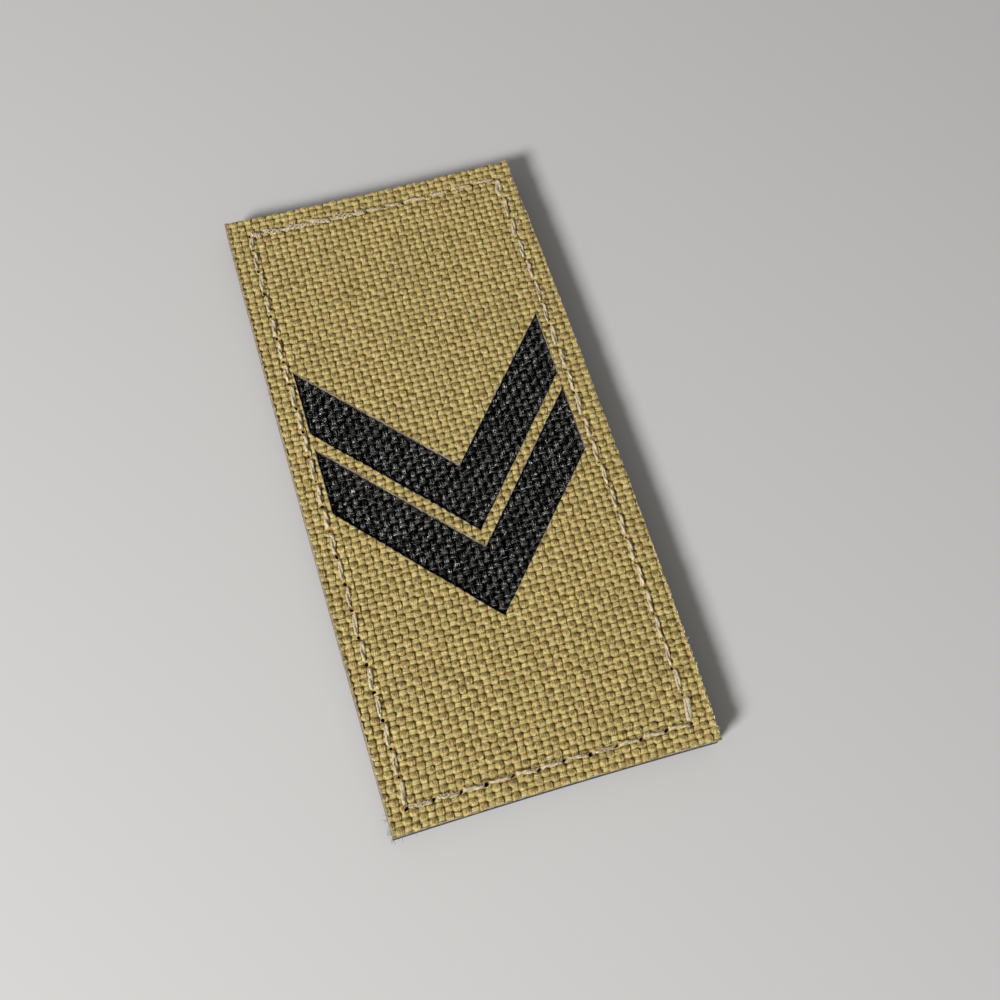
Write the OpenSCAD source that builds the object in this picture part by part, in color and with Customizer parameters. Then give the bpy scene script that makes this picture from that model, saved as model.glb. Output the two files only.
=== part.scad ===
// Rank patch: a tan woven face with two chevron windows over a black
// woven underlay, on a hook tape backing. The patch lies flat on its
// hooks, with its length along Y and the chevrons pointing to -Y.

/* [Patch outline] */
// Width of the patch, corner to corner
patch_w = 42; // [36:1:50]
// Length of the patch, corner to corner
patch_l = 88; // [78:1:104]
// How far the left long side bulges outwards
bow_left = 0.2; // [0:0.05:0.8]
// How far the right long side bulges outwards
bow_right = 0.5; // [0:0.05:0.8]
// How far the top end is drawn inwards
dip_top = 0.4; // [0:0.05:0.8]
// How far the bottom end is drawn inwards
dip_bottom = 0.2; // [0:0.05:0.8]

/* [Cloth] */
// Thickness of the tan face cloth
face_t = 1.0; // [1:0.1:1.5]
// Thickness of the black cloth under it
underlay_t = 1.0; // [1:0.1:1.5]
// Air between two layers
layer_gap = 0.05; // [0.02:0.01:0.1]

/* [Chevrons] */
// Width of both chevrons, from end to end
chevron_w = 34.8; // [26:0.2:35]
// How far the arms rise from the point to their ends
chevron_rise = 19.1; // [12:0.1:20]
// Depth of a chevron's band, along the patch
band = 9.5; // [6:0.1:10]
// Tan strip left between the two chevrons, along the patch
strip = 2.3; // [1.5:0.1:4]
// Outer point of the lower chevron, from the middle of the patch
lower_point = -21.7; // [-22:0.1:-18]
// How far the inner points lie right of the middle, all but the lowest
point_shift = 0.5; // [0:0.05:0.8]

/* [Hook tape] */
// Thickness of the tape's woven base
base_t = 1.0; // [1:0.1:1.3]
// Height of the hooks below the base
hook_h = 0.9; // [0.6:0.1:1.2]
// Distance from one row of hooks to the next
row_pitch = 1.5; // [1.3:0.1:2]
// Width of one row of hooks
row_w = 0.8; // [0.6:0.05:0.9]
// Bare edge of the base beside the outer rows and past their ends
hook_margin = 0.6; // [0.4:0.1:1.5]

/* [Hidden] */
// Flats along each bowed side
side_steps = 12;
// A cut reaches this far past the faces that it goes through
past = 1;
base_z = hook_h;
underlay_z = base_z + base_t + layer_gap;
face_z = underlay_z + underlay_t + layer_gap;
half_rows = floor((patch_w / 2 - hook_margin - row_w / 2) / row_pitch);
// The middle of the ends, which keeps the bulging outline centred
mid_x = (bow_left - bow_right) / 2;
corners = [
    [mid_x - patch_w / 2, -patch_l / 2],
    [mid_x + patch_w / 2, -patch_l / 2],
    [mid_x + patch_w / 2, patch_l / 2],
    [mid_x - patch_w / 2, patch_l / 2]
];
// How far each side bulges out, in the order of the corners
bulges = [-dip_bottom, bow_right, -dip_top, bow_left];

// Points of one side from p towards q, as a shallow curve that bulges
// by the given amount at its middle
function bowed_side(p, q, bulge) =
    let (along = q - p, out = [along[1], -along[0]] / norm(along))
    [for (i = [0 : side_steps - 1])
        let (t = i / side_steps)
        p + t * along + bulge * 4 * t * (1 - t) * out];

function outline() =
    [for (k = [0 : 3])
        each bowed_side(corners[k], corners[(k + 1) % 4], bulges[k])];

// Corners of a chevron whose outer point lies at y, off the middle by
// the shift given, and whose inner point is off it by point_shift
function chevron(y, shift) =
    let (left = mid_x - chevron_w / 2, right = mid_x + chevron_w / 2)
    [[mid_x + shift, y], [right, y + chevron_rise],
     [right, y + chevron_rise + band], [mid_x + point_shift, y + band],
     [left, y + chevron_rise + band], [left, y + chevron_rise]];

// One flat layer of the patch
module layer(z, t) {
    translate([0, 0, z]) linear_extrude(t) polygon(outline());
}

module face_cloth() {
    color("#b59b58") difference() {
        layer(face_z, face_t);
        for (k = [0 : 1])
            translate([0, 0, face_z - past])
                linear_extrude(face_t + 2 * past)
                    polygon(chevron(lower_point + k * (band + strip),
                                    k * point_shift));
    }
}

module black_underlay() {
    color("#1b1b1c") layer(underlay_z, underlay_t);
}

// Rows of hooks run the length of the patch, joined to the base
module hook_rows() {
    row_l = patch_l - 2 * (hook_margin + max(dip_top, dip_bottom));
    for (i = [-half_rows : half_rows])
        translate([i * row_pitch - row_w / 2, -row_l / 2, 0])
            cube([row_w, row_l, hook_h + base_t / 2]);
}

module hook_tape() {
    color("#26262a") union() {
        layer(base_z, base_t);
        hook_rows();
    }
}

face_cloth();
black_underlay();
hook_tape();
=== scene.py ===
import math
import bpy
import numpy as np
from mathutils import Matrix, Quaternion, Vector


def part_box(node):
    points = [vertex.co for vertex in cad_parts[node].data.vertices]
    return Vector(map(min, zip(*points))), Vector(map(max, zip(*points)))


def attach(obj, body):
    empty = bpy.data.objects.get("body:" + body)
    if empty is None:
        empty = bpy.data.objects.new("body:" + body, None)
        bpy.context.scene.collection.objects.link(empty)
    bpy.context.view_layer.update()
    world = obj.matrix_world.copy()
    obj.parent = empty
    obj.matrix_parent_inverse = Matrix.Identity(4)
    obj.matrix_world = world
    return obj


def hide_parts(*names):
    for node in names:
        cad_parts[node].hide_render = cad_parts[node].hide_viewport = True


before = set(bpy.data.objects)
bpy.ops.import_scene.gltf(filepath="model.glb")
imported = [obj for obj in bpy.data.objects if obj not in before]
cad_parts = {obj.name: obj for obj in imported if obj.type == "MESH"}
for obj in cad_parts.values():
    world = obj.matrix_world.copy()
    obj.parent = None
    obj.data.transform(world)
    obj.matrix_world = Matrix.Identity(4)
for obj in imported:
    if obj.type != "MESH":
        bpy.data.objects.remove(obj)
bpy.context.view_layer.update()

# The camera stands close over the lower left corner of the patch, as the photograph was taken,
# a little turned about its own line of sight.
sight_point = Vector((-0.00229, -0.0013, 0.0040))
sight_distance = 0.1711
sight_azimuth = math.radians(-112.44)
sight_height = math.radians(67.74)
sight_turn = math.radians(6.31)
toward_camera = Vector((math.cos(sight_height) * math.cos(sight_azimuth),
                        math.cos(sight_height) * math.sin(sight_azimuth),
                        math.sin(sight_height)))
bpy.ops.object.camera_add(location=sight_point + sight_distance * toward_camera)
camera = bpy.context.object
camera.name = "camera"
camera.rotation_mode = "QUATERNION"
camera.rotation_quaternion = (-toward_camera).to_track_quat("-Z", "Y") @ Quaternion((0, 0, 1), sight_turn)
camera.data.sensor_width = 36
camera.data.lens = 46.8
camera.data.shift_x = 0.0573
camera.data.shift_y = -0.0246
camera.data.clip_start = 0.005
camera.data.clip_end = 20
bpy.context.scene.camera = camera

# The face cloth is a heavy tan nylon plain weave of thick, textured yarns, coated on its back.
# It was cut out hot, windows and all, which fused its cut edges into a thin hard rim, and the
# lengthwise yarns lean a little to the right. The seam presses it down and its needle parts it.
face_low, face_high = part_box("face_cloth")
patch_w, patch_l = 0.042, 0.088
bow_left, bow_right, dip_top, dip_bottom = 0.0002, 0.0005, 0.0004, 0.0002
mid_x = (bow_left - bow_right) / 2
chevron_w, chevron_rise, band, strip = 0.0348, 0.0191, 0.0095, 0.0023
lower_point, point_shift = -0.0217, 0.0005
chevrons = ((lower_point, 0.0), (lower_point + band + strip, point_shift))
long_pitch, cross_pitch = 0.0010375, 0.000836
long_yarn_pairs, cross_yarn_pairs = 22, 54
yarns_above = 0.00054
coating_t = 0.00050
seam_bottom, seam_top_left, seam_top_right = -0.0411, 0.0410, 0.0414
seam_left, seam_right = -0.0184, 0.01815
seam_top_start, seam_top_end = 0.0185, -0.01795
# Where the needle went in along the top end, and how many stitches each side of the seam has
top_places = (0.0185, 0.0151, 0.0116, 0.0082, 0.0045, 0.0017, -0.00115, -0.0044, -0.0079, -0.0116, -0.0151)
bottom_count, right_count, top_count, left_count = 11, 23, 11, 23
# How many stitch lengths go into the two long sides, whose last stitch turns the corner
right_lengths, left_lengths = 22.9, 22.6
# A cutting tool goes from the floor, or a little under it, to above all that it cuts
tool_low, tool_high, tool_past = 0.0, 0.006, 0.001


def put_down():
    """Leaves edit mode, with nothing selected."""
    if bpy.context.object and bpy.context.object.mode != "OBJECT":
        bpy.ops.object.mode_set(mode="OBJECT")
    bpy.ops.object.select_all(action="DESELECT")


def take(*pieces):
    """Selects these pieces alone, and the first is the active one."""
    put_down()
    for piece in pieces:
        piece.select_set(True)
    bpy.context.view_layer.objects.active = pieces[0]
    return pieces[0]


def mark(piece, kind, wanted):
    """Goes into edit mode with the vertices, edges or faces selected for which wanted is true."""
    take(piece)
    bpy.ops.object.mode_set(mode="EDIT")
    bpy.ops.mesh.select_mode(type=kind)
    bpy.ops.mesh.select_all(action="DESELECT")
    bpy.ops.object.mode_set(mode="OBJECT")
    mesh = piece.data
    for part in {"VERT": mesh.vertices, "EDGE": mesh.edges, "FACE": mesh.polygons}[kind]:
        part.select = bool(wanted(part))
    bpy.ops.object.mode_set(mode="EDIT")


def span(piece, edge):
    """The way from one end of an edge to the other."""
    a, b = (piece.data.vertices[i].co for i in edge.vertices)
    return b - a


def places(piece):
    """Where the piece's vertices are, one row each."""
    flat = np.empty(3 * len(piece.data.vertices), np.float32)
    piece.data.vertices.foreach_get("co", flat)
    return flat.reshape(-1, 3).astype(float)


def move_to(piece, rows):
    """Moves the piece's vertices to these rows."""
    piece.data.vertices.foreach_set("co", rows.astype(np.float32).ravel())
    piece.data.update()


def apply_place():
    """Puts the place, turn and scale of the active piece into its mesh."""
    bpy.ops.object.transform_apply(location=True, rotation=True, scale=True)


def join(*pieces):
    """Makes one piece of several, under the name of the first."""
    take(*pieces)
    bpy.ops.object.join()
    return pieces[0]


def thicken(height):
    """Makes the flat shape that is in edit mode a closed block."""
    bpy.ops.mesh.select_all(action="SELECT")
    bpy.ops.mesh.extrude_region_move(TRANSFORM_OT_translate={"value": (0, 0, height)})
    bpy.ops.mesh.select_all(action="SELECT")
    bpy.ops.mesh.normals_make_consistent(inside=False)
    put_down()


def fix_modifiers(piece):
    """Turns what the piece's modifiers make into its own mesh."""
    take(piece)
    for modifier in list(piece.modifiers):
        bpy.ops.object.modifier_apply(modifier=modifier.name)


def twin(piece, name):
    """A copy of a piece with a mesh of its own."""
    copy = piece.copy()
    copy.data = piece.data.copy()
    copy.name = name
    bpy.context.collection.objects.link(copy)
    return copy


def throw_away(*pieces):
    """Deletes tools and patterns that are done with."""
    for piece in pieces:
        bpy.data.objects.remove(piece)


def cut_with(piece, tool, how="DIFFERENCE"):
    """Cuts the tool's shape out of a piece, or keeps only what lies inside it, or makes both one."""
    modifier = piece.modifiers.new("cut", "BOOLEAN")
    modifier.solver = "MANIFOLD"
    modifier.operation = how
    modifier.object = tool
    fix_modifiers(piece)


def outline_block(name, low, high, inset=0.0, cuts=11):
    """A block with the bowed outline of the patch, between two heights."""
    put_down()
    bpy.ops.mesh.primitive_plane_add(size=1, location=(mid_x, 0, low))
    block = bpy.context.object
    block.name = name
    bpy.ops.transform.resize(value=(patch_w, patch_l, 1))
    apply_place()
    bpy.ops.object.mode_set(mode="EDIT")
    bpy.ops.mesh.subdivide(number_cuts=cuts)
    bpy.ops.object.mode_set(mode="OBJECT")
    rows = places(block)
    across = 2 * (rows[:, 0] - mid_x) / patch_w
    along = 2 * rows[:, 1] / patch_l
    bulge = np.where(across > 0, bow_right, bow_left)
    dip = np.where(along > 0, dip_top, dip_bottom)
    rows[:, 0] += across * (bulge * (1 - along ** 2) - inset)
    rows[:, 1] -= along * (dip * (1 - across ** 2) + inset)
    move_to(block, rows)
    bpy.ops.object.mode_set(mode="EDIT")
    thicken(high - low)
    return block


def chevron_blocks(name, low, high, grow=0.0):
    """Two blocks with the outline of the chevron windows, grown on all sides, between two heights."""
    blocks = []
    slope = 2 * chevron_rise / chevron_w
    arm_w, arm_t = chevron_w + 2 * grow, band + 2 * grow * math.hypot(1, slope)
    for point_y, shift in chevrons:
        put_down()
        bpy.ops.mesh.primitive_grid_add(x_subdivisions=2, y_subdivisions=1, size=1,
                                        location=(mid_x, point_y + band / 2, low))
        block = bpy.context.object
        block.name = name
        bpy.ops.transform.resize(value=(arm_w, arm_t, 1))
        apply_place()
        mark(block, "VERT", lambda v: abs(v.co.x - mid_x) > chevron_w / 4)
        bpy.ops.transform.translate(value=(0, slope * arm_w / 2, 0))
        band_mid = point_y + band / 2
        for side, aside in ((1, point_shift), (-1, shift)):
            mark(block, "VERT", lambda v: abs(v.co.x - mid_x) < 0.001 and side * (v.co.y - band_mid) > 0)
            bpy.ops.transform.translate(value=(aside, 0, 0))
        thicken(high - low)
        blocks.append(block)
    return join(*blocks)


def yarn_repeat(name, run, width, thick, flat_top, steps):
    """One repeat of a yarn along Y, over at both ends and under at its middle. Each step says how
    high the yarn lies and how far it spreads there, from its crown to its underside. Its pattern is
    drawn from 0 to 1 around it, starting at a corner of its six sides, and from 0 to 1 along it."""
    sides, rings = 6, 8
    first_corner = 1 / sides
    hexagon_h = 0.866
    put_down()
    bpy.ops.mesh.primitive_cylinder_add(vertices=sides, radius=0.5, depth=1, end_fill_type="NOTHING",
                                        rotation=(math.pi / 2, math.pi / sides, 0))
    yarn = bpy.context.object
    yarn.name = name
    apply_place()
    mark(yarn, "EDGE", lambda e: abs(span(yarn, e).y) > 0.5)
    bpy.ops.mesh.subdivide(number_cuts=rings - 1)
    bpy.ops.object.mode_set(mode="OBJECT")
    drawn = yarn.data.uv_layers.active.data
    for face in yarn.data.polygons:
        middle = math.degrees(math.atan2(face.center.z, face.center.x)) / 360 + first_corner
        middle %= 1
        for i in face.loop_indices:
            p = yarn.data.vertices[yarn.data.loops[i].vertex_index].co
            around = math.degrees(math.atan2(p.z, p.x)) / 360 + first_corner
            around += round(middle - around)
            drawn[i].uv = (around, p.y + 0.5)
    mark(yarn, "VERT", lambda v: abs(v.co.z) > 0.1)
    bpy.ops.transform.resize(value=(flat_top, 1, 1))
    for ring in range(rings + 1):
        rise, spread = steps[rings // 2 - abs(ring - rings // 2)]
        mark(yarn, "VERT", lambda v: abs(v.co.y + 0.5 - ring / rings) < 0.01)
        bpy.ops.transform.resize(value=(width * spread, 1, thick / hexagon_h))
        bpy.ops.transform.translate(value=(0, 0, rise))
    bpy.ops.mesh.select_all(action="SELECT")
    bpy.ops.transform.resize(value=(1, run, 1), center_override=(0, 0, 0))
    put_down()
    return yarn


def repeat_in_row(piece, count, step, next_u=0.0, next_v=0.0, join_ends=False):
    """Lines up copies of a piece, each one step on, and moves their drawn pattern on with them."""
    modifier = piece.modifiers.new("row", "ARRAY")
    modifier.count = count
    modifier.use_relative_offset = False
    modifier.use_constant_offset = True
    modifier.constant_offset_displace = step
    modifier.offset_u = next_u
    modifier.offset_v = next_v
    modifier.use_merge_vertices = join_ends
    modifier.merge_threshold = 1e-6


def lay_yarns(name, pitch, cross, pairs, repeats, first_over, width, thick, flat_top, steps):
    """Yarns along Y, side by side, that go over and under in turn and differ from their neighbours."""
    yarn = yarn_repeat(name, 2 * cross, width, thick, flat_top, steps)
    neighbour = twin(yarn, name + "_neighbour")
    (yarn if first_over else neighbour).data.transform(Matrix.Translation((0, cross, 0)))
    neighbour.data.transform(Matrix.Translation((pitch, 0, 0)))
    for corner in neighbour.data.uv_layers.active.data:
        corner.uv.x += 1
    join(yarn, neighbour)
    repeat_in_row(yarn, repeats, (0, 2 * cross, 0), next_v=1, join_ends=True)
    repeat_in_row(yarn, pairs, (2 * pitch, 0, 0), next_u=2)
    fix_modifiers(yarn)
    bpy.ops.object.mode_set(mode="EDIT")
    bpy.ops.mesh.select_all(action="SELECT")
    bpy.ops.mesh.fill_holes(sides=6)
    put_down()
    yarn.data.transform(Matrix.Translation((-pairs * pitch, -repeats * cross, 0)))
    return yarn


def unsettle(yarns, run_axis, pitch, cross, seed, drift, swell, lift, lumps):
    """Makes the even yarns wander, swell and lift a little from crossing to crossing, and lumpy."""
    chance = np.random.default_rng(seed)
    rows = places(yarns)
    side = 1 - run_axis
    which = np.rint(rows[:, side] / pitch).astype(int)
    along = rows[:, run_axis] / cross
    which_from, along_from = which.min(), int(np.floor(along.min())) - 1
    number = (which.max() - which_from + 1, int(np.ceil(along.max())) - along_from + 2, 4)
    whole_yarn, most = 0.35, 2.2
    knots = chance.normal(0, 1, number) + whole_yarn * chance.normal(0, 1, (number[0], 1, 4))
    knots = np.clip(knots, -most, most)
    before = np.floor(along).astype(int)
    share = (along - before) ** 2 * (3 - 2 * (along - before))
    i, j = which - which_from, before - along_from
    value = knots[i, j] * (1 - share[:, None]) + knots[i, j + 1] * share[:, None]
    middle = which * pitch
    rows[:, side] = middle + (rows[:, side] - middle) * (1 + swell * value[:, 0]) + drift * value[:, 1]
    rows[:, run_axis] += drift * value[:, 3]
    rows[:, 2] += lift * value[:, 2]
    rows += chance.normal(0, lumps, rows.shape)
    move_to(yarns, rows)


def lean(yarns, sideways=1.0):
    """Leans the lengthwise yarns to the right, most at the bottom of the patch."""
    slope, bend, twist = 0.0175, -0.00745, 0.00843
    rows = places(yarns)
    along = 2 * rows[:, 1] / patch_l
    rows[:, 0] += sideways * patch_l / 2 * (slope * along + bend * along ** 2 + twist * along ** 3)
    move_to(yarns, rows)


def seam_run(start, end, shares, bulge):
    """Where the needle went in along one side of the seam, its last point left to the next side."""
    start, end = Vector(start), Vector(end)
    out = Vector((end.y - start.y, start.x - end.x)).normalized()
    return [start.lerp(end, t) + 4 * bulge * t * (1 - t) * out for t in shares]


bottom_left = (seam_left + mid_x, seam_bottom)
bottom_right = (seam_right + mid_x, seam_bottom)
top_right = (seam_top_start + mid_x, seam_top_right)
top_left = (seam_top_end + mid_x, seam_top_left)


def along_top(x_places):
    """Where the needle went in along the top end, from places across the patch."""
    shares = [(seam_top_start - x) / (seam_top_start - seam_top_end) for x in x_places]
    return seam_run(top_right, top_left, shares, -0.0003)


def for_sides(bottom, right, top, left):
    """One value for each stitch, in the order in which the seam was sewn."""
    return [bottom] * bottom_count + [right] * right_count + [top] * top_count + [left] * left_count


left_shares = [0.0] + [(left_lengths - i) / left_lengths for i in range(left_count - 1, 0, -1)]
needle_holes = seam_run(bottom_left, bottom_right, [i / bottom_count for i in range(bottom_count)], 0.0)
needle_holes += seam_run(bottom_right, top_right, [i / right_lengths for i in range(right_count)], 0.0003)
needle_holes += along_top(top_places)
needle_holes += seam_run(top_left, bottom_left, left_shares, 0.0002)
needle_holes = [Vector((p.x, p.y)) for p in needle_holes]
wander = np.random.default_rng(5)
off_line = 0.00006
for hole in needle_holes:
    hole.x += wander.normal(0, off_line)
    hole.y += wander.normal(0, off_line)
stitches = list(zip(needle_holes, needle_holes[1:] + needle_holes[:1]))


def press_under_seam(yarns, depth):
    """Sinks the cloth along the seam, most at the needle holes, and parts its yarns round them."""
    furrow, furrow_end = 0.00050, 0.0014
    along_stitch, more_at_holes = 0.55, 0.75
    parting, parted, parted_end, least_off = 0.00017, 0.00038, 0.0009, 1e-6
    rows = places(yarns)
    sunk = np.zeros(len(rows))
    for a, b in stitches:
        start, way = np.array(a), np.array(b - a)
        from_middle = np.abs(rows[:, :2] - start - way / 2)
        near = np.nonzero(np.all(from_middle < np.abs(way) / 2 + furrow_end, axis=1))[0]
        t = np.clip((rows[near, :2] - start) @ way / (way @ way), 0, 1)
        off = np.linalg.norm(rows[near, :2] - start - t[:, None] * way, axis=1)
        pull = (along_stitch + more_at_holes * (2 * t - 1) ** 4) * np.exp(-(off / furrow) ** 2)
        sunk[near] = np.maximum(sunk[near], depth * pull)
    rows[:, 2] -= sunk
    for hole in needle_holes:
        away = rows[:, :2] - np.array(hole)
        off = np.linalg.norm(away, axis=1)
        near = np.nonzero(off < parted_end)[0]
        push = parting * np.exp(-(off[near] / parted) ** 2) / np.maximum(off[near], least_off)
        rows[near, :2] += push[:, None] * away[near]
    move_to(yarns, rows)


def roughen_ends(yarns, amount, seed):
    """Lets the yarns end unevenly at the right side and at the bottom, where little melted."""
    fade = 0.0006
    chance = np.random.default_rng(seed)
    rows = places(yarns)
    i = np.rint(rows[:, 0] / long_pitch).astype(int)
    j = np.rint(rows[:, 1] / cross_pitch).astype(int)
    reach = amount * chance.uniform(-0.1, 1.0, (i.max() - i.min() + 1, j.max() - j.min() + 1))
    reach = reach[i - i.min(), j - j.min()]
    from_right = mid_x + patch_w / 2 - rows[:, 0]
    from_end = patch_l / 2 + rows[:, 1]
    rows[:, 0] += reach * np.exp(-(from_right / fade) ** 2)
    rows[:, 1] -= reach * np.exp(-(from_end / fade) ** 2)
    move_to(yarns, rows)


def smooth(piece, angle=50):
    """Shades a piece smooth, but for the edges that are sharper than the angle."""
    take(piece)
    bpy.ops.object.shade_smooth_by_angle(angle=math.radians(angle))
    put_down()


face_mid = face_low.z + yarns_above
long_steps = ((0.00030, 1.10), (0.00023, 1.05), (0.00003, 0.92), (-0.00016, 0.78), (-0.00022, 0.72))
cross_steps = ((0.00018, 1.0), (0.00016, 0.97), (0.00007, 0.90), (-0.00010, 0.86), (-0.00016, 0.86))
face_long = lay_yarns("face_yarns_long", long_pitch, cross_pitch, long_yarn_pairs, cross_yarn_pairs,
                      first_over=True, width=0.00104, thick=0.00047, flat_top=1.3, steps=long_steps)
face_cross = lay_yarns("face_yarns_cross", cross_pitch, long_pitch, cross_yarn_pairs, long_yarn_pairs,
                       first_over=False, width=0.00073, thick=0.00031, flat_top=1.3, steps=cross_steps)
face_cross.data.transform(Matrix.Rotation(math.pi / 2, 4, "Z"))
unsettle(face_long, 1, long_pitch, cross_pitch, seed=21,
         drift=0.000045, swell=0.05, lift=0.000020, lumps=0.000024)
unsettle(face_cross, 0, cross_pitch, long_pitch, seed=22,
         drift=0.000045, swell=0.08, lift=0.000022, lumps=0.000024)
hole_widths = for_sides(1.3, 1.0, 1.25, 1.45)
hole_middle, hole_depth, torn_turn = face_low.z + 0.0003, 0.0025, 0.5
last_top_hole = bottom_count + right_count + top_count - 1
hole_drills = []
for k, hole in enumerate(needle_holes):
    torn = k < bottom_count or k == last_top_hole
    way = (needle_holes[(k + 1) % len(needle_holes)] - hole).normalized()
    turn = math.atan2(way.y, way.x) + (torn_turn if torn else 0.0)
    radius = hole_widths[k] * wander.uniform(0.00013, 0.00021)
    put_down()
    bpy.ops.mesh.primitive_cylinder_add(vertices=8, radius=radius, depth=hole_depth, rotation=(0, 0, turn),
                                        location=(hole.x, hole.y, hole_middle))
    stretch = wander.uniform(1.3, 2.1) if torn else wander.uniform(0.8, 1.3)
    bpy.context.object.scale = (stretch, wander.uniform(0.75, 1.15), 1.0)
    apply_place()
    hole_drills.append(bpy.context.object)
drills = join(*hole_drills)
trim = 0.00004
outline = outline_block("outline_tool", tool_low, tool_high, inset=trim)
windows = chevron_blocks("window_tool", tool_low, tool_high, grow=trim)
untrimmed = []
for yarns in (face_long, face_cross):
    yarns.data.transform(Matrix.Translation((0, 0, face_mid)))
    lean(yarns)
    press_under_seam(yarns, depth=0.00020)
    untrimmed.append(twin(yarns, "untrimmed"))
    cut_with(yarns, outline, how="INTERSECT")
    cut_with(yarns, windows)
    cut_with(yarns, drills)
    roughen_ends(yarns, amount=0.00016, seed=25)
    smooth(yarns)


def finish_for(name, roughness, specular=0.5):
    """A new material, its node tree and its shader, with the numbers that are the same all over it."""
    material = bpy.data.materials.new(name)
    material.use_nodes = True
    shader = material.node_tree.nodes["Principled BSDF"]
    shader.inputs["Roughness"].default_value = roughness
    shader.inputs["Specular IOR Level"].default_value = specular
    return material, material.node_tree, shader


def step(tree, kind, inputs, out=0, **settings):
    """Adds one node, sets or links its inputs, and gives back the output that is asked for."""
    made = tree.nodes.new("ShaderNode" + kind)
    for key, value in settings.items():
        setattr(made, key, value)
    for key, value in inputs.items():
        if isinstance(value, bpy.types.NodeSocket):
            tree.links.new(value, made.inputs[key])
        else:
            made.inputs[key].default_value = value
    return made.outputs[out]


def sum_of(tree, a, b, how="ADD"):
    """Two values added, or put together in another way."""
    return step(tree, "Math", {0: a, 1: b}, operation=how)


def tinted(tree, colour, tint):
    """A colour multiplied by another, or by a number."""
    return step(tree, "Mix", {0: 1.0, 6: colour, 7: tint}, out=2, data_type="RGBA", blend_type="MULTIPLY")


def ramp(tree, value, stops):
    """Colours along a value, each stop a place and a colour."""
    made = tree.nodes.new("ShaderNodeValToRGB")
    tree.links.new(value, made.inputs["Fac"])
    bar = made.color_ramp.elements
    for i, (place, colour) in enumerate(stops):
        stop = bar[i] if i < 2 else bar.new(place)
        stop.position = place
        stop.color = (*colour, 1)
    return made.outputs["Color"]


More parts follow.
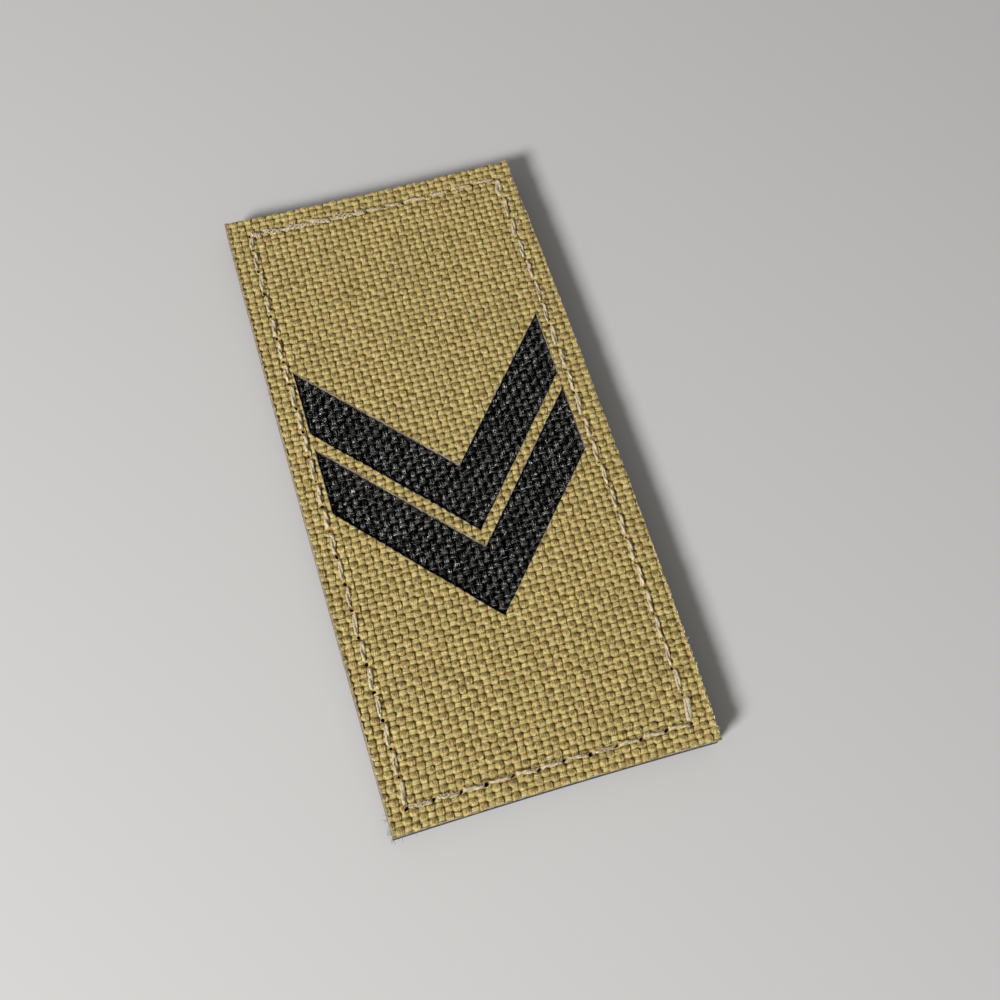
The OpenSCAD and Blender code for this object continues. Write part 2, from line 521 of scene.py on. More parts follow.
def yarn_finish(name, shades, blush, reach, roughness, specular, height, windings, lumpy, ridges,
                painted_strand_light, strand_from=-1.0):
    """Bulky textured nylon yarn. The shades run from the middle of a crown out to its rim and on down
    its flanks into the weave. They paint light and shade: lighter where the crowns catch the light,
    darker down the flanks and in the gaps. Each yarn is dyed a little lighter or darker, and fine
    filaments and small loops stand out of it, their ridges painted lighter and darker as painted
    shading and glints. The pattern goes once round the yarn and once along each repeat."""
    up, round_yarn, raggedness = 5 / 12, 5.4, 1.5
    spotted, dyed_apart, patched = 1.6, 0.25, 0.5
    bundles_round, bundles_along, bundles_apart, bundle_bend = 15.0, 1.5, 3.7, 2.2
    material, tree, shader = finish_for(name, roughness, specular)
    place = step(tree, "TexCoord", {}, out="Object")
    drawn = step(tree, "UVMap", {}, uv_map="UVMap")
    split = tree.nodes.new("ShaderNodeSeparateXYZ")
    tree.links.new(drawn, split.inputs[0])
    which = step(tree, "Math", {0: split.outputs["X"]}, operation="FLOOR")
    around = step(tree, "Math", {0: split.outputs["X"]}, operation="FRACT")
    off_side = step(tree, "Math", {0: sum_of(tree, around, up, "SUBTRACT")}, operation="ABSOLUTE")
    phase = step(tree, "Math", {0: sum_of(tree, split.outputs["Y"], 0.5)}, operation="FRACT")
    off_top = step(tree, "Math", {0: sum_of(tree, phase, 0.5, "SUBTRACT")}, operation="ABSOLUTE")
    flat = step(tree, "CombineXYZ", {"X": sum_of(tree, off_side, round_yarn, "MULTIPLY"),
                                     "Y": sum_of(tree, off_top, reach, "MULTIPLY")})
    out_of_middle = step(tree, "VectorMath", {0: flat}, out="Value", operation="LENGTH")
    mottle = step(tree, "TexNoise", {"Vector": place, "Scale": 3600.0, "Detail": 2.0, "Roughness": 0.6})
    ragged = sum_of(tree, sum_of(tree, mottle, 0.5, "SUBTRACT"), raggedness, "MULTIPLY")
    down = step(tree, "MapRange", {"Value": sum_of(tree, out_of_middle, ragged), "From Max": 2.0})
    # The ramp paints light and shade: lighter on the crowns and their rims, darker down the flanks and in the
    # gaps.
    colour = ramp(tree, down, shades)
    dyed = step(tree, "TexWhiteNoise", {"W": which}, out="Value", noise_dimensions="1D")
    spots = step(tree, "TexNoise", {"Vector": place, "Scale": 900.0, "Detail": 2.0})
    browned = step(tree, "TexNoise", {"Vector": place, "Scale": 1200.0, "Detail": 4.0, "Roughness": 0.7})
    patchy = step(tree, "TexNoise", {"Vector": place, "Scale": 130.0, "Detail": 2.0})
    tone = sum_of(tree, sum_of(tree, spots, spotted, "MULTIPLY"), sum_of(tree, dyed, dyed_apart, "MULTIPLY"))
    tone = sum_of(tree, tone, sum_of(tree, patchy, patched, "MULTIPLY"))
    tone = step(tree, "MapRange", {"Value": tone, "From Min": 0.75, "From Max": 1.6,
                                   "To Min": 0.90, "To Max": 1.10})
    colour = tinted(tree, colour, tone)
    stain = ramp(tree, browned, ((0.42, (1.0, 1.0, 1.0)), (0.68, blush)))
    colour = tinted(tree, colour, stain)
    bundle = step(tree, "CombineXYZ", {"X": sum_of(tree, around, bundles_round, "MULTIPLY"),
                                       "Y": sum_of(tree, split.outputs["Y"], bundles_along, "MULTIPLY"),
                                       "Z": sum_of(tree, which, bundles_apart, "MULTIPLY")})
    bundles = step(tree, "TexNoise", {"Vector": bundle, "Scale": 1.0, "Detail": 2.0, "Roughness": 0.5})
    lumps = step(tree, "TexNoise", {"Vector": place, "Scale": 5000.0, "Detail": 2.0})
    bent = sum_of(tree, bundles, bundle_bend, "MULTIPLY")
    winding = sum_of(tree, sum_of(tree, around, windings, "MULTIPLY"), bent)
    ridge = step(tree, "Math", {0: sum_of(tree, winding, 2 * math.pi, "MULTIPLY")}, operation="SINE")
    # Along the filament ridges the colour is painted lighter and darker, painted shading of the filaments; on
    # the black yarn it paints bright glint streaks.
    light = step(tree, "MapRange", {"Value": ridge, "From Min": strand_from,
                                    "To Min": painted_strand_light[0], "To Max": painted_strand_light[1]})
    colour = tinted(tree, colour, light)
    tree.links.new(colour, shader.inputs["Base Color"])
    relief = sum_of(tree, bundles, sum_of(tree, lumps, lumpy, "MULTIPLY"))
    relief = sum_of(tree, relief, sum_of(tree, ridge, ridges, "MULTIPLY"))
    bump = step(tree, "Bump", {"Strength": 1.0, "Distance": height, "Height": relief})
    tree.links.new(bump, shader.inputs["Normal"])
    return material


def dress(piece, material, slot, *nodes):
    """Gives a piece its material and its body, and says which nodes it stands for. Its slot is not used."""
    piece.data.materials.clear()
    piece.data.materials.append(material)
    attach(piece, "root")
    if nodes:
        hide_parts(*nodes)


# Tan yarn shades: centre and body are the yarn's own colour, the rim is a painted highlight, and the flank
# and deep shades are painted shade where the yarns dive into the weave. The crosswise floats are painted in
# the rim's highlight colour over their tops.
centre, body, rim, painted_flank_shade, painted_deep_shade = ((0.330, 0.230, 0.088), (0.400, 0.305, 0.100), (0.640, 0.548, 0.222),
                                  (0.420, 0.295, 0.070), (0.390, 0.250, 0.048))
browned_tan = (0.90, 0.78, 0.86)
tan_long = yarn_finish("tan_lengthwise_nylon",
                       ((0.0, centre), (0.20, body), (0.40, rim), (0.55, body), (0.69, painted_flank_shade), (0.86, painted_deep_shade)),
                       browned_tan, reach=4.0, roughness=0.6, specular=0.35, height=0.00017,
                       windings=16.0, lumpy=0.5, ridges=0.08, painted_strand_light=(0.88, 1.12))
tan_cross = yarn_finish("tan_crosswise_nylon",
                        ((0.0, rim), (0.34, rim), (0.52, body), (0.68, painted_flank_shade), (0.86, painted_deep_shade)),
                        browned_tan, reach=4.4, roughness=0.6, specular=0.35, height=0.00017,
                        windings=16.0, lumpy=0.5, ridges=0.08, painted_strand_light=(0.88, 1.12))
dress(face_long, tan_long, "tan_cloth", "face_cloth")
dress(face_cross, tan_cross, "tan_cloth", "face_cloth")

# The coating is a thin tan layer, spread on the back of the face cloth to keep it from fraying and
# cut out with it. It shows between the yarns, and the needle went through it too.


def plain_finish(name, dark, light, scale, roughness, specular, height):
    """A surface whose colour varies gently between two tones, with a fine uneven relief."""
    material, tree, shader = finish_for(name, roughness, specular)
    place = step(tree, "TexCoord", {}, out="Object")
    cloudy = step(tree, "TexNoise", {"Vector": place, "Scale": scale, "Detail": 4.0, "Roughness": 0.6})
    spread = step(tree, "MapRange", {"Value": cloudy, "From Min": 0.3, "From Max": 0.7})
    tree.links.new(ramp(tree, spread, ((0.0, dark), (1.0, light))), shader.inputs["Base Color"])
    bump = step(tree, "Bump", {"Strength": 0.7, "Distance": height, "Height": cloudy})
    tree.links.new(bump, shader.inputs["Normal"])
    return material


face_coat = outline_block("face_backing", face_low.z, face_low.z + coating_t, inset=0.00008)
cut_with(face_coat, windows)
cut_with(face_coat, drills)
smooth(face_coat, 20)
tan_coating = plain_finish("tan_coating", (0.34, 0.23, 0.070), (0.44, 0.31, 0.100), scale=2600.0,
                           roughness=0.6, specular=0.3, height=0.00006)
dress(face_coat, tan_coating, "tan_cloth", "face_cloth")

# The rims are the cut ends of the face's yarns, which the hot cut melted into a thin hard bead. One
# runs round the patch and one round each window, where it is darker and patchier.


def walls_of(block, halvings):
    """Leaves only the upright walls of a block, their edges halved so many times: the line of a hot cut."""
    mark(block, "FACE", lambda f: abs(f.normal.z) > 0.5)
    bpy.ops.mesh.delete(type="FACE")
    put_down()
    longest = max(span(block, e).xy.length for e in block.data.edges)
    for halving in range(halvings):
        least = 0.6 * longest / 2 ** halving
        mark(block, "EDGE", lambda e: span(block, e).xy.length > least)
        bpy.ops.mesh.subdivide(number_cuts=1)
    put_down()
    return block


def fused_rim(name, block, halvings, cloth, width, deepest, outwards, seed):
    """The rim that a hot cut melts on a cloth: a thin wall as high as the yarns it fused, or as the
    deepest place allowed. It is thickest and highest down the left side, and thicker at the top end."""
    left_higher, too_high, side_reach = 0.00018, 0.0006, 0.00005
    walls_of(block, halvings)
    top = block.vertex_groups.new(name="top")
    rows = places(block)
    upper = [int(i) for i in np.nonzero(rows[:, 2] > rows[:, 2].mean())[0]]
    top.add(upper, 1.0, "REPLACE")
    shrink = block.modifiers.new("rest on the yarns", "SHRINKWRAP")
    shrink.target = cloth
    shrink.wrap_method = "PROJECT"
    shrink.use_project_z = True
    shrink.use_negative_direction = True
    shrink.use_positive_direction = False
    shrink.vertex_group = "top"
    shrink.offset = 0.00002
    fix_modifiers(block)
    chance = np.random.default_rng(seed)
    rows = places(block)
    left = rows[:, 0] < mid_x - patch_w / 2 + side_reach
    least = np.where(left, deepest + left_higher, deepest)[upper]
    missed = rows[upper, 2] > deepest + too_high
    rows[upper, 2] = np.where(missed, least, np.maximum(rows[upper, 2], least))
    rows[upper, 2] += chance.normal(0, 0.00001, len(upper))
    rows[:, :2] += chance.normal(0, 0.000012, (len(rows), 2))
    move_to(block, rows)
    bead = block.vertex_groups.new(name="bead")
    topmost = rows[:, 1] > patch_l / 2 - dip_top - side_reach
    thin = chance.uniform(0.2, 0.4, len(rows))
    thick = chance.uniform(0.5, 1.0, len(rows))
    shares = np.where(left, thick, np.where(topmost, thin + 0.25, thin))
    for i, share in enumerate(shares):
        bead.add([i], share, "REPLACE")
    wall = block.modifiers.new("melted wall", "SOLIDIFY")
    wall.thickness = width
    wall.vertex_group = "bead"
    wall.offset = 1.0 if outwards else -1.0
    wall.use_rim = True
    fix_modifiers(block)
    block.name = name
    mark(block, "FACE", lambda f: True)
    bpy.ops.mesh.normals_make_consistent(inside=False)
    put_down()
    smooth(block, 60)
    return block


face_weave = join(*untrimmed)
above_yarns, rim_w = face_high.z + 0.0005, 0.00028
edge_rim = fused_rim("face_edge_rim", outline_block("edge_rim", face_low.z, above_yarns), 5, face_weave,
                     rim_w, deepest=face_mid + 0.00018, outwards=False, seed=31)
window_rim = fused_rim("window_rim", chevron_blocks("window_rim", face_low.z, above_yarns), 7, face_weave,
                       rim_w, deepest=face_mid + 0.00012, outwards=True, seed=32)
fused_edge = plain_finish("fused_tan_edge", (0.26, 0.19, 0.11), (0.52, 0.43, 0.29), scale=2600.0,
                          roughness=0.42, specular=0.5, height=0.00006)
# The window rim's colour runs in patches from near black to pale tan.
patchy_window_edge = plain_finish("patchy_dark_tan_edge", (0.07, 0.048, 0.03), (0.50, 0.41, 0.29), scale=1500.0,
                           roughness=0.42, specular=0.5, height=0.00006)
dress(edge_rim, fused_edge, "tan_cloth", "face_cloth")
dress(window_rim, patchy_window_edge, "tan_cloth", "face_cloth")

# The black cloth under the face is the same heavy nylon weave, dyed black, with a glossier finish.
# It was cut with the rest and shows in the windows and at the sides. Real layers are most likely
# thinner than these, so it stands up into the windows. Where the face hides it, it is a plain slab.
black_low, black_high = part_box("black_underlay")
black_mid = black_low.z + 0.00050
black_coating_t, slab_drop = 0.00012, 0.00016
aside_x, aside_y = 0.0003, 0.0002
black_long_steps = ((0.00020, 1.0), (0.00016, 0.97), (0.00002, 0.90), (-0.00014, 0.82), (-0.00020, 0.78))
black_cross_steps = ((0.00024, 1.0), (0.00020, 0.97), (0.00003, 0.88), (-0.00014, 0.82), (-0.00020, 0.80))
black_long = lay_yarns("black_yarns_long", long_pitch, cross_pitch, long_yarn_pairs, cross_yarn_pairs,
                       first_over=True, width=0.00084, thick=0.00044, flat_top=1.1, steps=black_long_steps)
black_cross = lay_yarns("black_yarns_cross", cross_pitch, long_pitch, cross_yarn_pairs, long_yarn_pairs,
                        first_over=False, width=0.00070, thick=0.00040, flat_top=1.1, steps=black_cross_steps)
black_cross.data.transform(Matrix.Rotation(math.pi / 2, 4, "Z"))
unsettle(black_long, 1, long_pitch, cross_pitch, seed=41,
         drift=0.00005, swell=0.08, lift=0.00003, lumps=0.000026)
unsettle(black_cross, 0, cross_pitch, long_pitch, seed=42,
         drift=0.00005, swell=0.08, lift=0.00003, lumps=0.000026)


def arm_rise(x, shift):
    """How far an edge of a chevron has risen at x from its point, which lies off the middle."""
    off = x - mid_x - shift
    return chevron_rise * np.abs(off) / (chevron_w / 2 - np.sign(off) * shift)


def swell_into_windows(yarns, height, margin):
    """Lets the cloth stand up into the windows. It starts to rise a little outside their edges."""
    at_edge = 0.8
    rows = places(yarns)
    steep = math.hypot(1, 2 * chevron_rise / chevron_w)
    inside = np.full(len(rows), -1.0)
    for point_y, shift in chevrons:
        above = (rows[:, 1] - point_y - arm_rise(rows[:, 0], shift)) / steep
        below = (point_y + band + arm_rise(rows[:, 0], point_shift) - rows[:, 1]) / steep
        from_end = chevron_w / 2 - np.abs(rows[:, 0] - mid_x)
        inside = np.maximum(inside, np.minimum(np.minimum(above, below), from_end))
    share = np.clip(inside / margin + at_edge, 0, 1)
    rows[:, 2] += height * share ** 2 * (3 - 2 * share)
    move_to(yarns, rows)


hidden = outline_block("hidden_tool", tool_low, tool_high, inset=0.0014)
shown = chevron_blocks("shown_tool", tool_low - tool_past, tool_high + tool_past, grow=0.0009)
cut_with(hidden, shown)
for yarns in (black_long, black_cross):
    yarns.data.transform(Matrix.Translation((aside_x, aside_y, black_mid)))
    lean(yarns, 0.6)
    swell_into_windows(yarns, height=0.00076, margin=0.0005)
    cut_with(yarns, outline, how="INTERSECT")
    cut_with(yarns, hidden)
    smooth(yarns)
# Black yarn shades: a grey painted sheen over the crowns, standing in for the gloss of the yarn tops, and
# painted shade, dark and then black, down the flanks and in the gaps of the weave.
painted_shade_black, painted_shade_dark, painted_sheen_grey = (0.0004, 0.0004, 0.0004), (0.0032, 0.0032, 0.0030), (0.0165, 0.0160, 0.0150)
black_yarn = yarn_finish("black_textured_nylon", ((0.0, painted_sheen_grey), (0.30, painted_sheen_grey), (0.47, painted_shade_dark), (0.62, painted_shade_black)),
                         (0.6, 0.6, 0.6), reach=3.6, roughness=0.27, specular=0.72, height=0.00009,
                         windings=9.0, lumpy=0.2, ridges=0.34, painted_strand_light=(0.02, 13.0), strand_from=0.4)
black_coat = outline_block("black_backing", black_low.z, black_low.z + black_coating_t, inset=trim)
slab_low, slab_high = black_low.z + black_coating_t / 2, black_high.z - slab_drop
middle = outline_block("middle_slab", slab_low, slab_high, inset=0.0013)
shown_low = chevron_blocks("shown_low", tool_low, tool_high + tool_past, grow=0.0008)
cut_with(middle, shown_low)
cut_with(black_coat, middle, how="UNION")
cut_with(black_coat, drills)
smooth(black_coat, 20)
black_coating = plain_finish("black_coating", (0.004, 0.004, 0.004), (0.010, 0.010, 0.011), scale=900.0,
                             roughness=0.5, specular=0.4, height=0.00002)
dress(black_coat, black_coating, "black_cloth", "black_underlay")
for yarns in (black_long, black_cross):
    dress(yarns, black_yarn, "black_cloth", "black_underlay")

# The backing is hook tape: a stiff woven base of black nylon with rows of hooks below it. Each hook
# is one cut loop of bristle-like thread, and the stub of the loop's other leg stands beside it.
tape_low, tape_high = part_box("hook_tape")
hook_h = 0.0009
base_low = tape_low.z + hook_h
bristle, crook, row_gap, hook_gap = 0.00019, 0.00024, 0.0015, 0.00118
rooted, stub_h = 0.0001, 0.00038
hooks_a_row, right_hand_rows, left_hand_rows = 73, 14, 13


def one_hook():
    """A hook and its stub, rooted in the base, which reach down to the surface they rest on."""
    put_down()
    bpy.ops.mesh.primitive_circle_add(vertices=5, radius=bristle / 2, location=(-crook, 0, base_low + rooted))
    hook = bpy.context.object
    hook.name = "tape_hooks"
    turn_z = tape_low.z + crook + bristle / 2
    apply_place()
    bpy.ops.object.mode_set(mode="EDIT")
    bpy.ops.mesh.select_all(action="SELECT")
    bpy.ops.mesh.extrude_region_move(TRANSFORM_OT_translate={"value": (0, 0, turn_z - base_low - rooted)})
    bpy.ops.mesh.spin(steps=5, angle=math.radians(205), center=(0, 0, turn_z), axis=(0, 1, 0))
    bpy.ops.transform.resize(value=(0.55, 0.55, 0.55))
    bpy.ops.mesh.select_all(action="SELECT")
    bpy.ops.mesh.fill_holes(sides=5)
    put_down()
    bpy.ops.mesh.primitive_cone_add(vertices=5, radius1=0.4 * bristle, radius2=bristle / 2, depth=stub_h,
                                    location=(crook, 0, base_low - rooted))
    apply_place()
    stub = bpy.context.object
    join(hook, stub)
    bpy.ops.object.mode_set(mode="EDIT")
    bpy.ops.mesh.select_all(action="SELECT")
    bpy.ops.mesh.normals_make_consistent(inside=False)
    put_down()
    return hook


hook = one_hook()
turned = twin(hook, "turned_hook")
turned.data.transform(Matrix.Rotation(math.pi, 4, "Z"))
for piece, count, ahead in ((hook, right_hand_rows, 0.25), (turned, left_hand_rows, -0.25)):
    each = len(piece.data.vertices)
    repeat_in_row(piece, hooks_a_row, (0, hook_gap, 0))
    repeat_in_row(piece, count, (2 * row_gap, 0, 0))
    fix_modifiers(piece)
    corner = np.array([-(count - 1) * row_gap, (ahead - (hooks_a_row - 1) / 2) * hook_gap, 0.0])
    rows = places(piece).reshape(count * hooks_a_row, each, 3)
    chance = np.random.default_rng(50 + count)
    n = len(rows)
    root = np.zeros((n, 1, 3))
    root[:, 0, 0] = np.repeat(np.arange(count) * 2 * row_gap, hooks_a_row)
    root[:, 0, 1] = np.tile(np.arange(hooks_a_row) * hook_gap, count)
    local = rows - root
    swing = chance.normal(0, 0.30, n)[:, None]
    x = local[:, :, 0] * np.cos(swing) - local[:, :, 1] * np.sin(swing)
    y = local[:, :, 0] * np.sin(swing) + local[:, :, 1] * np.cos(swing)
    below = (base_low - local[:, :, 2]) / hook_h
    lean_x = chance.normal(0, 0.00006, n)[:, None]
    lean_y = chance.normal(0, 0.00008, n)[:, None]
    local[:, :, 0] = x + lean_x * below
    local[:, :, 1] = y + lean_y * below
    rows = local + root + corner
    move_to(piece, rows.reshape(-1, 3))
hooks = join(hook, turned)
smooth(hooks, 70)
bristle_black = plain_finish("hook_bristle", (0.006, 0.006, 0.006), (0.014, 0.014, 0.015), scale=3000.0,
                             roughness=0.28, specular=0.5, height=0.00001)
dress(hooks, bristle_black, "hook_tape", "hook_tape")


def tape_weave():
    """Black nylon narrow weave: ribs along the tape, crossed by fine yarns, matt with a dull gloss. Its
    colour is painted darker in the hollows and lighter on the ribs, as painted shade and sheen.
    """
    rib_pitch, pick_pitch, layer_pitch = 0.00075, 0.0005, 0.00035
    material, tree, shader = finish_for("tape_ground_weave", roughness=0.55, specular=0.45)
    place = step(tree, "TexCoord", {}, out="Object")
    split = tree.nodes.new("ShaderNodeSeparateXYZ")
    tree.links.new(place, split.inputs[0])
    waves = []
    for axis, pitch in (("X", rib_pitch), ("Y", pick_pitch), ("Z", layer_pitch)):
        turns = sum_of(tree, split.outputs[axis], 2 * math.pi / pitch, "MULTIPLY")
        waves.append(step(tree, "Math", {0: turns}, operation="SINE"))
    rib, pick_line, layer = waves
    cross = sum_of(tree, rib, pick_line, "MULTIPLY")
    rough = step(tree, "TexNoise", {"Vector": place, "Scale": 2600.0, "Detail": 3.0})
    relief = sum_of(tree, cross, sum_of(tree, rough, 1.5, "MULTIPLY"))
    relief = sum_of(tree, relief, sum_of(tree, layer, 0.3, "MULTIPLY"))
    # The colour follows the relief: painted shade in the hollows of the weave, painted sheen on its raised
    # ribs.
    fade = step(tree, "MapRange", {"Value": relief, "From Min": -0.6, "From Max": 2.0})
    tree.links.new(ramp(tree, fade, ((0.0, (0.003, 0.003, 0.003)), (1.0, (0.020, 0.020, 0.021)))),
                   shader.inputs["Base Color"])
    bump = step(tree, "Bump", {"Strength": 0.8, "Distance": 0.00008, "Height": relief})
    tree.links.new(bump, shader.inputs["Normal"])
    return material


tape = outline_block("tape_base", base_low, tape_high.z, inset=0.00003, cuts=59)
cut_with(tape, drills)
smooth(tape, 30)
dress(tape, tape_weave(), "hook_tape", "hook_tape")

# One lockstitch seam holds the layers together, sewn all round with thick cream nylon thread, whose
# two or three plies show where it opens. The top thread lies in a furrow of the face, the bobbin
# thread between the hooks, and the left half of the top end was sewn twice to lock the seam.
ply = 0.00014
seam_height = face_mid + 0.00031
bobbin_height = base_low - 0.00008


def strand(name, points, thickness, sides=6):
    """One strand along points, as a closed mesh, thinner at both ends."""
    put_down()
    bpy.ops.curve.primitive_nurbs_path_add(location=(0, 0, 0))
    path = bpy.context.object
    path.name = name
    bpy.ops.object.mode_set(mode="EDIT")
    bpy.ops.curve.select_all(action="SELECT")
    while len(path.data.splines[0].points) < len(points):
        bpy.ops.curve.subdivide(number_cuts=1)
    bpy.ops.object.mode_set(mode="OBJECT")
    spline = path.data.splines[0]
    spline.order_u = 3
    spline.use_endpoint_u = True
    n = len(spline.points)
    for i, point in enumerate(spline.points):
        at = i / (n - 1) * (len(points) - 1)
        k = min(int(at), len(points) - 2)
        p = Vector(points[k]).lerp(Vector(points[k + 1]), at - k)
        point.co = (*p, 1)
        point.radius = 0.6 if i in (0, n - 1) else 1.0
    spline.resolution_u = 1
    path.data.bevel_depth = thickness / 2
    path.data.bevel_resolution = (sides - 4) // 2
    path.data.use_fill_caps = True
    bpy.ops.object.convert(target="MESH")
    return bpy.context.object


def stitch(name, count, turns, splay, thickness, arch, drop, start_twist, points_in=17):
    """One stitch a unit long, from the hole where it comes up to the hole where it goes down. It
    arches over the cloth, drops into both holes, crosses from one side to the other, and splays."""
    slant = 0.00013
    plies = []
    for side in range(count):
        points = []
        for i in range(points_in):
            t = i / (points_in - 1)
            rise = arch * (1 - abs(2 * t - 1) ** 5) - drop * abs(2 * t - 1) ** 13
            twist = start_twist + 2 * math.pi * side / count + 2 * math.pi * turns * t
            wide = ply * (0.7 + splay * math.sin(math.pi * t) ** 2)
            points.append((t, slant * math.cos(math.pi * t) + wide * math.cos(twist),
                           rise + ply * 0.8 * math.sin(twist)))
        plies.append(strand(name, points, thickness))
    return join(*plies)


# How much of the way from hole to hole a stitch covers, and how far on from the middle it lies
reaches = for_sides(0.93, 0.98, 0.93, 0.88)
pulled_on = 0.01


def lay_stitches(name, runs, kinds, breadths, height, upside_down, seed):
    """Copies a stitch into each run of the seam, from hole to hole, no two quite alike."""
    chance = np.random.default_rng(seed)
    laid = []
    for k, (a, b) in enumerate(runs):
        one = twin(kinds[k][int(chance.integers(len(kinds[k])))], name)
        way = b - a
        turn = Matrix.Rotation(math.atan2(way.y, way.x), 4, "Z")
        flip = -1.0 if upside_down else 1.0
        breadth = breadths[k] * chance.uniform(0.85, 1.15)
        size = Matrix.Diagonal((reaches[k] * way.length, breadth, flip * chance.uniform(0.9, 1.1), 1.0))
        start = a + (0.5 + pulled_on - reaches[k] / 2) * way
        one.data.transform(Matrix.Translation((start.x, start.y, height)) @ turn @ size)
        if upside_down:
            one.data.flip_normals()
        laid.append(one)
    whole = join(*laid)
    rows = places(whole)
    move_to(whole, rows + chance.normal(0, 0.000035, rows.shape))
    whole.name = name
    smooth(whole, 70)
    return whole


twisted = stitch("twisted_stitch", count=2, turns=-1.1, splay=0.0, thickness=2 * ply,
                 arch=0.00012, drop=0.0013, start_twist=0.4)
opened = stitch("opened_stitch", count=2, turns=-0.7, splay=0.35, thickness=1.8 * ply,
                arch=0.00010, drop=0.0013, start_twist=2.0)
slack = stitch("slack_stitch", count=2, turns=-0.4, splay=0.1, thickness=2.1 * ply,
               arch=0.00014, drop=0.0013, start_twist=1.2)
ropey = stitch("ropey_stitch", count=3, turns=-1.9, splay=0.45, thickness=1.5 * ply,
               arch=0.00012, drop=0.0013, start_twist=0.8, points_in=33)
loose = stitch("loose_stitch", count=3, turns=-1.5, splay=0.9, thickness=1.3 * ply,
               arch=0.00010, drop=0.0013, start_twist=2.5, points_in=33)
under = stitch("under_stitch", count=2, turns=-1.5, splay=0.1, thickness=2 * ply,
               arch=0.00006, drop=0.0012, start_twist=0.0)
# The first and the last stitch of the right side are the thickest
right_first, right_last = bottom_count, bottom_count + right_count - 1
breadths = for_sides(1.05, 1.15, 0.9, 1.25)
breadths[right_first], breadths[right_last] = 2.1, 1.9
plump = (twisted, opened, slack)
kinds = for_sides((ropey, loose, twisted), plump, (twisted, ropey), plump)
kinds[right_first], kinds[right_last] = (slack,), (opened,)
seam = lay_stitches("seam_thread", stitches, kinds, breadths, seam_height, upside_down=False, seed=61)
bobbin = lay_stitches("bobbin_thread", stitches, [(under,)] * len(stitches), [1.0] * len(stitches),
                      bobbin_height, upside_down=True, seed=62)
locked_places = (-0.0179, -0.0163, -0.0132, -0.0097, -0.0061, -0.0028, -0.0011)
ahead, behind = 0.00013, -0.00008
locked = [Vector((p.x, p.y + (ahead if i % 2 else behind))) for i, p in enumerate(along_top(locked_places))]
locked_runs = list(zip(locked, locked[1:]))
backtack = lay_stitches("backtack_thread", locked_runs, [(ropey, loose)] * len(locked_runs),
                        [1.6] * len(locked_runs), seam_height + 0.00012, upside_down=False, seed=63)
throw_away(twisted, opened, slack, ropey, loose, under)
cream_thread = plain_finish("cream_nylon_thread", (0.40, 0.31, 0.18), (0.76, 0.66, 0.44), scale=3500.0,
                            roughness=0.5, specular=0.4, height=0.00008)
for threads in (seam, bobbin, backtack):
    dress(threads, cream_thread, "stitch_thread")

# Loose fibre of the same nylon: cream filaments along the bottom seam and the locked stitches, two at
# the left edge, short tan loops where the right edge barely melted, and a dark fringe where the cut
# frayed the black layers, most of it at the lower left corner.


def loose_fibres(name, roots, ways, length, thickness, sag, seed):
    """Short curved filaments that start at their roots and point along their ways."""
    chance = np.random.default_rng(seed)
    made = []
    for root, way in zip(roots, ways):
        reach = length * chance.uniform(0.5, 1.3)
        side = Vector((-way[1], way[0], 0.0)) * chance.uniform(-0.5, 0.5)
        points = []
        for i in range(5):
            t = i / 4
            fall = Vector((0, 0, sag * t * t))
            points.append(Vector(root) + reach * (t * Vector(way) + t * t * side) - fall)
        made.append(strand(name, points, thickness, 4))
    whole = join(*made)
    whole.name = name
    smooth(whole, 70)
    return whole


chance = np.random.default_rng(71)
left_edge, right_edge, bottom_edge = mid_x - patch_w / 2, mid_x + patch_w / 2, -patch_l / 2
fringe_count, one_at_end_in, corner_reach = 22, 4, 0.0012
fringe_roots = []
fringe_ways = []
for i in range(fringe_count):
    far = chance.exponential(corner_reach)
    if i % one_at_end_in == 0:
        x, y, way = left_edge + far, bottom_edge, Vector((chance.normal(0, 0.6), -1.0, 0.0))
    else:
        x, y, way = left_edge, bottom_edge + far, Vector((-1.0, chance.normal(-0.1, 0.8), 0.0))
    fringe_roots.append((x, y, chance.uniform(tape_high.z - 0.0006, black_high.z - 0.0002)))
    fringe_ways.append(way.normalized())
fringe = loose_fibres("black_fringe", fringe_roots, fringe_ways, length=0.00055, thickness=0.00003,
                      sag=0.0001, seed=72)
frayed_black = plain_finish("frayed_black_nylon", (0.02, 0.02, 0.02), (0.12, 0.12, 0.12), scale=2000.0,
                            roughness=0.4, specular=0.5, height=0.00001)
dress(fringe, frayed_black, "black_cloth")
edge_roots = [(left_edge - bow_left, 0.0160, face_mid), (left_edge - bow_left, 0.0166, face_mid)]
edge_ways = [Vector((-0.8, 0.5, 0.2)), Vector((-0.9, -0.3, 0.1))]
filaments_a_stitch = 14
cream_roots = []
cream_ways = []
for a, b in stitches[:bottom_count] + [stitches[right_last]] + locked_runs:
    for k in range(filaments_a_stitch):
        p = a.lerp(b, chance.uniform(0.08, 0.86))
        cream_roots.append((p.x, p.y + chance.uniform(-0.00034, 0.00012), seam_height + 0.00024))
        cream_ways.append(Vector((0.80, chance.normal(0.5, 0.25), 0.0)).normalized())
filaments = loose_fibres("cream_filaments", cream_roots + edge_roots, cream_ways + edge_ways,
                         length=0.0006, thickness=0.00009, sag=0.00010, seed=73)
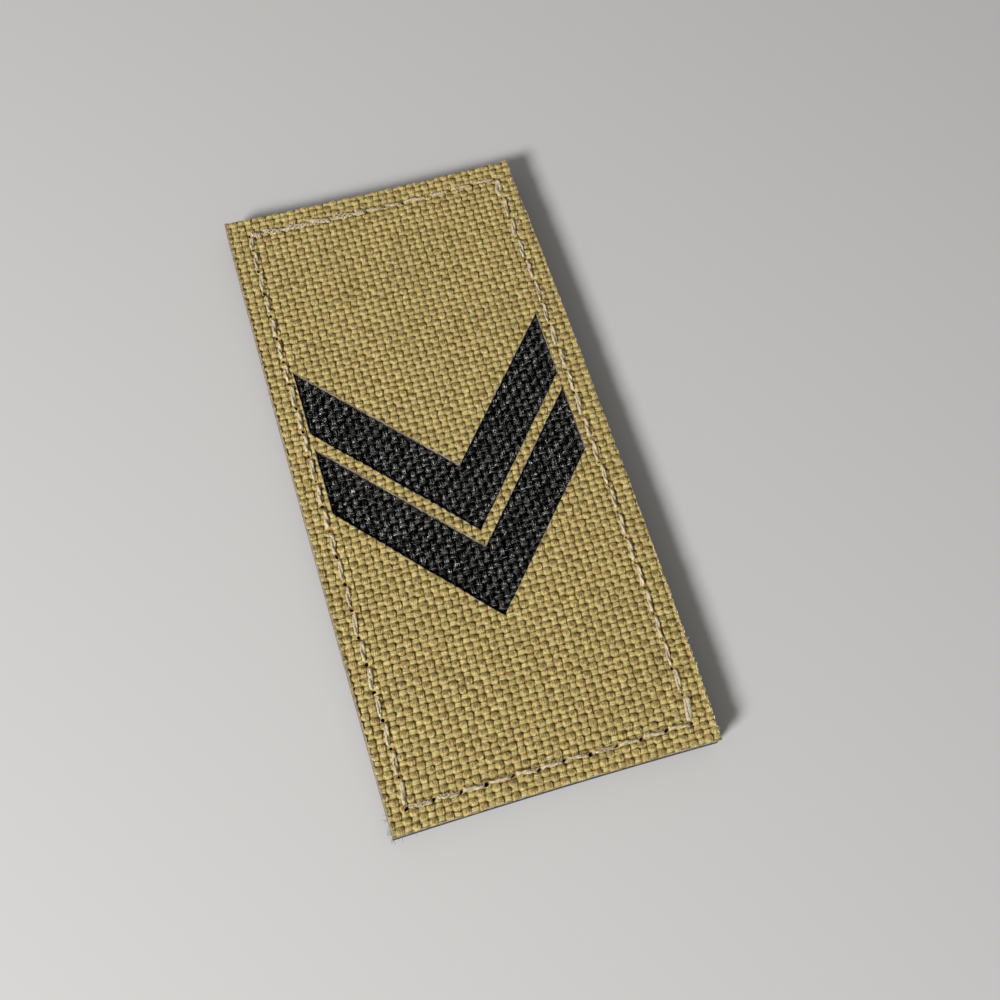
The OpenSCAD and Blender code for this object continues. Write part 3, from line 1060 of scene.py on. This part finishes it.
dress(filaments, cream_thread, "stitch_thread")
loop_count, lowest_loop, loops_reach, thinning_up = 72, -0.0432, 0.027, 1.2
loop_roots = []
loop_ways = []
for i in range(loop_count):
    y = lowest_loop + loops_reach * (i / (loop_count - 1)) ** thinning_up + chance.normal(0, 0.00015)
    x = right_edge + bow_right * (1 - (2 * y / patch_l) ** 2) + chance.uniform(-0.00026, 0.0)
    loop_roots.append((x, y, face_mid + chance.uniform(0.00020, 0.00050)))
    loop_ways.append(Vector((chance.normal(0.05, 0.2), 0.9, 0.30)).normalized())
loops = loose_fibres("frayed_tan_loops", loop_roots, loop_ways, length=0.00038, thickness=0.00012,
                     sag=0.00006, seed=74)
frayed_tan = plain_finish("frayed_tan_nylon", (0.55, 0.46, 0.22), (0.80, 0.74, 0.46), scale=3000.0,
                          roughness=0.5, specular=0.4, height=0.00003)
dress(loops, frayed_tan, "tan_cloth")

# The patch lies on a plain pale floor. One soft light stands low on the left and rakes over the weave,
# and a dim, even surround fills the shadows.
put_down()
bpy.ops.mesh.primitive_plane_add(size=4.0, location=(0, 0, 0))
floor = bpy.context.object
floor.name = "floor"
floor_material, floor_tree, floor_shader = finish_for("pale_floor", roughness=0.9, specular=0.2)
floor_shader.inputs["Base Color"].default_value = (0.62, 0.61, 0.60, 1)
floor.data.materials.append(floor_material)
put_down()
bpy.ops.object.light_add(type="AREA", location=(-0.52, -0.328, 0.43))
key = bpy.context.object
key.rotation_mode = "QUATERNION"
key.rotation_quaternion = (Vector((0, 0, 0)) - key.location).to_track_quat("-Z", "Y")
key.data.size = 0.18
key.data.energy = 6.65
world = bpy.data.worlds.new("studio")
bpy.context.scene.world = world
world.use_nodes = True
world.node_tree.nodes["Background"].inputs["Color"].default_value = (1.0, 0.98, 0.95, 1)
world.node_tree.nodes["Background"].inputs["Strength"].default_value = 0.23
world.cycles_visibility.glossy = False
bpy.context.scene.view_settings.view_transform = "Standard"
throw_away(outline, windows, drills, hidden, shown, middle, shown_low, face_weave)
